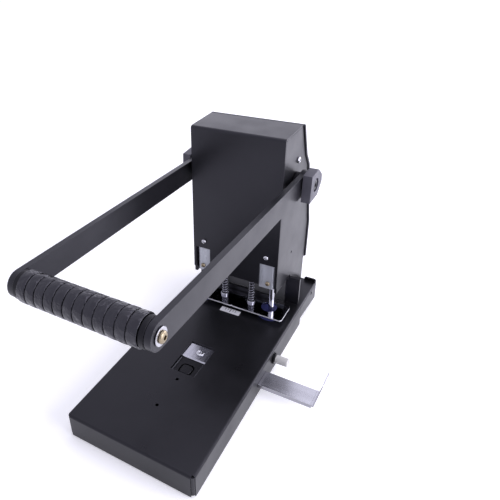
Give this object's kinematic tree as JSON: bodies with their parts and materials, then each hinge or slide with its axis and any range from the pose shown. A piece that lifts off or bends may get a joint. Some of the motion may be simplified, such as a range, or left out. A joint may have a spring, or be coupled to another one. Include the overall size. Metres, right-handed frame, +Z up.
{
  "type": "heavy duty hole punch",
  "caption": "Heavy duty desk hole punch with a sheet-metal base, a tall tower, a long ribbed-grip lever, punch pins, a press plate and a side paper guide.",
  "frame": {"origin": "on the underside of the base's rubber mat, on the centre line, straight below the line of the punch pins", "axes": "+X to the right as seen by the user at the lever's grip, +Y to the back (towards the tower), +Z up"},
  "size_m": [0.1973, 0.3366, 0.2333],
  "materials": {
    "base_paint": "satin dark grey powder paint",
    "tower_paint": "satin dark grey powder paint",
    "lever_paint": "satin dark grey powder paint",
    "rubber_foot": "matte",
    "rubber_grip": "satin, ribbed",
    "black_plastic": "matte",
    "disc_plastic": "satin",
    "white_plastic": "satin off-white",
    "polished_steel": "polished",
    "bright_steel": "bright",
    "zinc_steel": "dull zinc plating",
    "brass": "plain"
  },
  "bodies": {
    "frame": {"base_cover": "base_paint", "rear_base_cover": "base_paint", "bottom_plate": "base_paint", "frame_plate": "base_paint", "paper_stop": "base_paint", "side_plate_right": "tower_paint", "side_plate_left": "tower_paint", "front_cover": "tower_paint", "rear_cover": "tower_paint", "base_mat": "rubber_foot", "rear_foot_right": "rubber_foot", "rear_foot_left": "rubber_foot", "lock_washer": "black_plastic", "button_pocket": "black_plastic", "punch_disc_right": "disc_plastic", "punch_disc_left": "disc_plastic", "centre_mark": "white_plastic", "window_plate": "polished_steel", "side_screw_right": "bright_steel", "side_screw_left": "bright_steel", "cover_screw_right": "bright_steel", "cover_screw_left": "bright_steel", "window_screw": "bright_steel", "disc_support": "zinc_steel", "tie_rod_upper": "zinc_steel", "tie_rod_lower": "zinc_steel", "guide_rail": "zinc_steel", "axle_bush_right": "brass", "axle_bush_left": "brass"},
    "lever": {"lever_arm_right": "lever_paint", "lever_arm_left": "lever_paint", "lever_axle": "bright_steel", "arm_hub_right": "lever_paint", "arm_hub_left": "lever_paint", "hub_screw_right": "bright_steel", "hub_screw_left": "bright_steel", "crank_pin": "bright_steel", "grip_rod": "black_plastic", "grip_sleeve": "rubber_grip", "grip_washer_right": "bright_steel", "grip_washer_left": "bright_steel", "grip_screw_right": "brass", "grip_screw_left": "brass"},
    "carriage": {"carriage": "zinc_steel", "pin_bracket_right": "zinc_steel", "pin_bracket_left": "zinc_steel", "bracket_screw_right": "brass", "bracket_screw_left": "brass", "punch_pin_right": "polished_steel", "punch_pin_left": "polished_steel"},
    "press": {"press_plate": "polished_steel", "guide_post_right": "bright_steel", "guide_post_left": "bright_steel", "post_clip_right": "zinc_steel", "post_clip_left": "zinc_steel", "return_spring_right": "bright_steel", "return_spring_left": "bright_steel"},
    "side_guide": {"guide_arm": "bright_steel"},
    "lock": {"lock_knob": "white_plastic"},
    "button": {"release_button": "black_plastic"}
  },
  "joints": [
    {"name": "lever_pivot", "type": "hinge", "parent": "frame", "child": "lever", "pos_m": [0, 0.0205, 0.1798], "axis": [-1, 0, 0], "range_deg": [0, 60]},
    {"name": "carriage_slide", "type": "slide", "parent": "frame", "child": "carriage", "axis": [0, 0, 1], "range_m": [0, 0.02]},
    {"name": "press_plate_slide", "type": "slide", "parent": "frame", "child": "press", "axis": [0, 0, 1], "range_m": [0, 0.012], "deforming": ["return_spring_right", "return_spring_left"]},
    {"name": "side_guide_slide", "type": "slide", "parent": "frame", "child": "side_guide", "axis": [1, 0, 0], "range_m": [-0.045, 0.035]},
    {"name": "lock_knob_turn", "type": "hinge", "parent": "frame", "child": "lock", "pos_m": [0.07, -0.053, 0.0145], "axis": [1, 0, 0], "range_deg": [0, 270]},
    {"name": "release_button_press", "type": "slide", "parent": "frame", "child": "button", "axis": [0, 0, -1], "range_m": [0, 0.002], "stiffness_N_per_m": 500, "springref_m": -0.001}
  ],
  "couplings": [
    {"joint": "carriage_slide", "follows": "lever_pivot", "m_per_rad": 0.01909},
    {"joint": "press_plate_slide", "follows": "lever_pivot", "m_per_rad": 0.01145}
  ]
}
